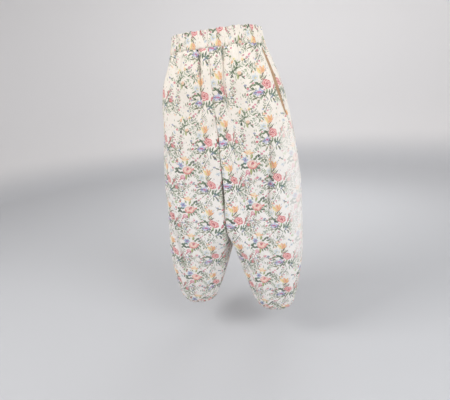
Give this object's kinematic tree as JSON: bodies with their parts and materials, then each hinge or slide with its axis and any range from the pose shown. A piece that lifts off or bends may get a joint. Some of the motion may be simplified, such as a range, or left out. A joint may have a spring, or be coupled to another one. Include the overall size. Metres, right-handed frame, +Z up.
{
  "type": "barrel leg trousers",
  "caption": "Pull-on barrel leg trousers in floral cotton, worn form, with an elastic waist, side-seam pockets and gathered narrow hems.",
  "frame": {"origin": "centre of the waist opening, level with the top of the waistband at the sides, where the waist holds the garment up", "axes": "+X to the wearer's left, -Y to the front, +Z up the body"},
  "size_m": [0.5205, 0.2656, 0.9969],
  "materials": {
    "printed_cotton": "matt, with a faint sheen and a floral print",
    "casing_cotton": "matt, gathered, with a floral print",
    "pocketing": "matt, in the shade of the pocket opening"
  },
  "bodies": {
    "root": {"waistband": "casing_cotton", "front_left": "printed_cotton", "back_left": "printed_cotton", "hem_casing_left": "casing_cotton", "pocket_left": "pocketing", "front_right": "printed_cotton", "back_right": "printed_cotton", "hem_casing_right": "casing_cotton", "pocket_right": "pocketing"}
  },
  "joints": []
}
